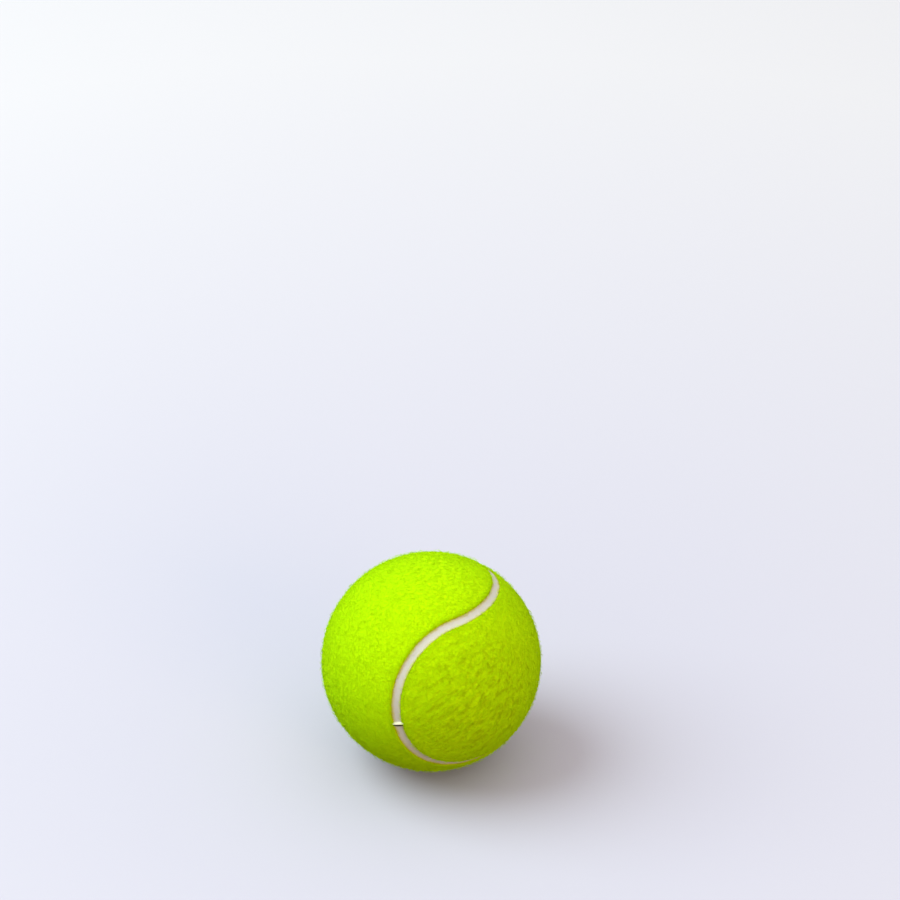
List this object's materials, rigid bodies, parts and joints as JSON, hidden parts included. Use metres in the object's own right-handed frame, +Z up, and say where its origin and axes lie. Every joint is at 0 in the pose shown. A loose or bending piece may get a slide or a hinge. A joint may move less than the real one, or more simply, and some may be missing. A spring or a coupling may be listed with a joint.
{
  "type": "tennis ball",
  "caption": "New tennis ball: hollow rubber core under interlocking panels of bright yellow-green felt, joined by a white rubber seam.",
  "frame": {"origin": "centre of the ball, half its felt diameter above the surface that it stands on", "axes": "+Z up as it lies on the floor; +Y away from the viewer and +X to the viewer's right, as the seam shows its S to someone who looks along +Y from above"},
  "size_m": [0.067, 0.067, 0.067],
  "materials": {
    "core_rubber": "matte",
    "rubber_solution": "satin",
    "base_cloth": "matte",
    "felt_nap": "matte",
    "seam_rubber": "matte"
  },
  "bodies": {
    "root": {"core_half_lower": "core_rubber", "core_half_upper": "core_rubber", "core_joint_cement": "rubber_solution", "core_dip_coat": "rubber_solution", "base_cloth_a": "base_cloth", "base_cloth_b": "base_cloth", "nap_a": "felt_nap", "nap_b": "felt_nap", "seam_cement": "seam_rubber"}
  },
  "joints": []
}
